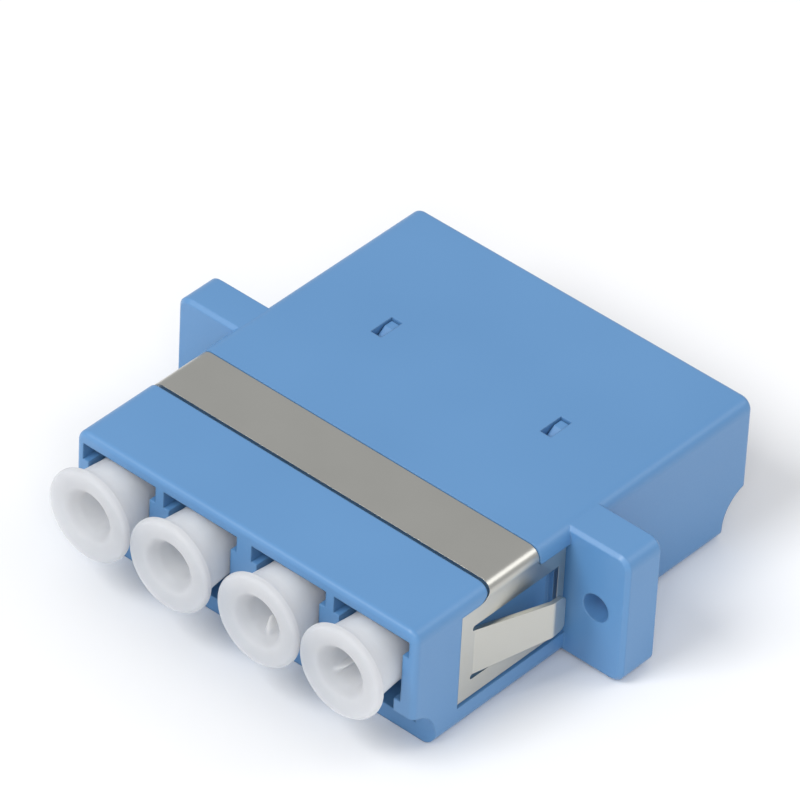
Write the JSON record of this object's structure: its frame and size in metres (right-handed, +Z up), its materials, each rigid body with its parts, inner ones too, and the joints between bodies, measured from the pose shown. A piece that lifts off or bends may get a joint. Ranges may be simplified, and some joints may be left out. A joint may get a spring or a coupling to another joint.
{
  "type": "lc fibre adapter",
  "caption": "Flanged bulkhead adapter that joins LC fibre plugs end to end in a row of ports, with a sprung panel clip and pull-out dust caps.",
  "frame": {"origin": "middle of the housing's flat underside", "axes": "+X across the row of ports, +Y along the fibres from the capped front to the rear, +Z up; the latch side of the ports faces down"},
  "size_m": [0.0346, 0.0319, 0.0094],
  "materials": {
    "housing_plastic": "satin moulded PBT, light blue",
    "core_plastic": "satin moulded PBT, light blue",
    "spring_steel": "rolled nickel-plated spring steel",
    "zirconia": "polished zirconia ceramic",
    "cap_plastic": "soft natural polyethylene, slightly translucent"
  },
  "bodies": {
    "adapter": {"housing": "housing_plastic", "retaining_clip": "spring_steel", "duplex_core_left": "core_plastic", "duplex_core_right": "core_plastic", "split_sleeve_1": "zirconia", "split_sleeve_2": "zirconia", "split_sleeve_3": "zirconia", "split_sleeve_4": "zirconia"},
    "cap_1": {"dust_cap_1": "cap_plastic"},
    "cap_2": {"dust_cap_2": "cap_plastic"},
    "cap_3": {"dust_cap_3": "cap_plastic"},
    "cap_4": {"dust_cap_4": "cap_plastic"}
  },
  "joints": [
    {"name": "cap_1_pull", "type": "slide", "parent": "adapter", "child": "cap_1", "axis": [0, -1, 0], "range_m": [0, 0.015]},
    {"name": "cap_2_pull", "type": "slide", "parent": "adapter", "child": "cap_2", "axis": [0, -1, 0], "range_m": [0, 0.015]},
    {"name": "cap_3_pull", "type": "slide", "parent": "adapter", "child": "cap_3", "axis": [0, -1, 0], "range_m": [0, 0.015]},
    {"name": "cap_4_pull", "type": "slide", "parent": "adapter", "child": "cap_4", "axis": [0, -1, 0], "range_m": [0, 0.015]}
  ]
}
